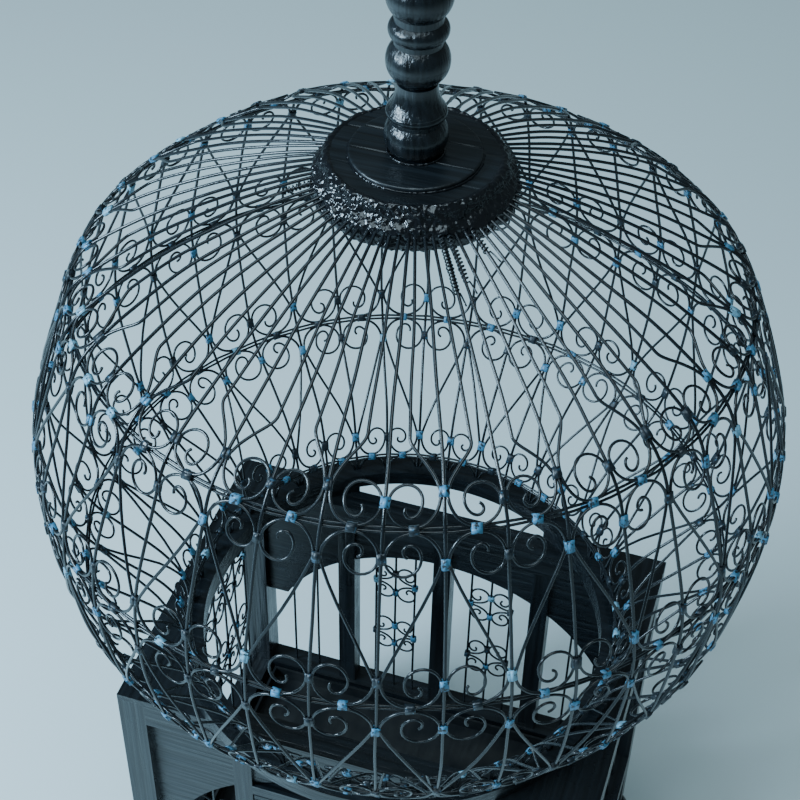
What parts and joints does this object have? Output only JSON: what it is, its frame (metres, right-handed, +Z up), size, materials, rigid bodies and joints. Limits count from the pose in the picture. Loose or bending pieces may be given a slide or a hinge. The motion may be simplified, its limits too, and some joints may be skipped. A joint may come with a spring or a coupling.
{
  "type": "bird cage",
  "caption": "Wire dome bird cage with a turned finial on a wooden house with a barred door and a pull-out tray.",
  "frame": {"origin": "centre of the footprint on the floor, under the dome axis", "axes": "+Z up along the dome axis, -Y out of the door side, +X to the right when facing the door"},
  "size_m": [0.4712, 0.4712, 0.9],
  "materials": {
    "clip_paint": "satin, worn",
    "collar_paste": "gloss, lumpy",
    "hub_wood": "painted satin",
    "wire_paint": "satin",
    "iron_fittings": "matte",
    "tray_metal": "satin",
    "seat_wood": "painted satin",
    "bare_wood": "bare",
    "house_wood": "painted satin"
  },
  "bodies": {
    "cage": {"finial": "hub_wood", "finial_dowel": "bare_wood", "cap_disc": "hub_wood", "hub_block": "hub_wood", "wire_collar": "collar_paste", "cap_wires": "wire_paint", "upper_wires": "wire_paint", "lower_wires": "wire_paint", "skirt_wires": "wire_paint", "hoop_a": "wire_paint", "hoop_b": "wire_paint", "hoop_c": "wire_paint", "hoop_d": "wire_paint", "clips_a": "clip_paint", "clips_b": "clip_paint", "clips_c": "clip_paint", "clips_d": "clip_paint", "seat_ring": "seat_wood", "roof_board_left": "house_wood", "roof_board_right": "house_wood", "corner_post_front_left": "house_wood", "corner_post_front_right": "house_wood", "corner_post_back_left": "house_wood", "corner_post_back_right": "house_wood", "top_rail_front": "house_wood", "top_rail_back": "house_wood", "top_rail_left": "house_wood", "top_rail_right": "house_wood", "bottom_rail_back": "house_wood", "bottom_rail_left": "house_wood", "bottom_rail_right": "house_wood", "front_sill": "house_wood", "arch_board_front": "house_wood", "arch_board_back": "house_wood", "bay_posts_front": "house_wood", "bay_posts_back": "house_wood", "door_lintel": "house_wood", "front_bars": "wire_paint", "back_bars": "wire_paint", "left_bars": "wire_paint", "right_bars": "wire_paint", "post_hinge_leaves": "iron_fittings", "hinge_pins": "iron_fittings", "button_screw": "iron_fittings", "tray_runners": "house_wood"},
    "door": {"door_frame": "house_wood", "door_bars": "wire_paint", "door_hinge_leaves": "iron_fittings"},
    "button": {"turn_button": "iron_fittings"},
    "tray": {"tray_pan": "tray_metal", "tray_front": "house_wood", "tray_knob": "house_wood"}
  },
  "joints": [
    {"name": "door_hinge", "type": "hinge", "parent": "cage", "child": "door", "pos_m": [-0.0725, -0.1215, 0.18144], "axis": [0, 0, -1], "range_deg": [0, 110]},
    {"name": "button_pivot", "type": "hinge", "parent": "cage", "child": "button", "pos_m": [0.08, -0.1208, 0.18144], "axis": [0, 1, 0], "range_deg": [0, 90]},
    {"name": "tray_slide", "type": "slide", "parent": "cage", "child": "tray", "axis": [0, -1, 0], "range_m": [0, 0.17]}
  ]
}
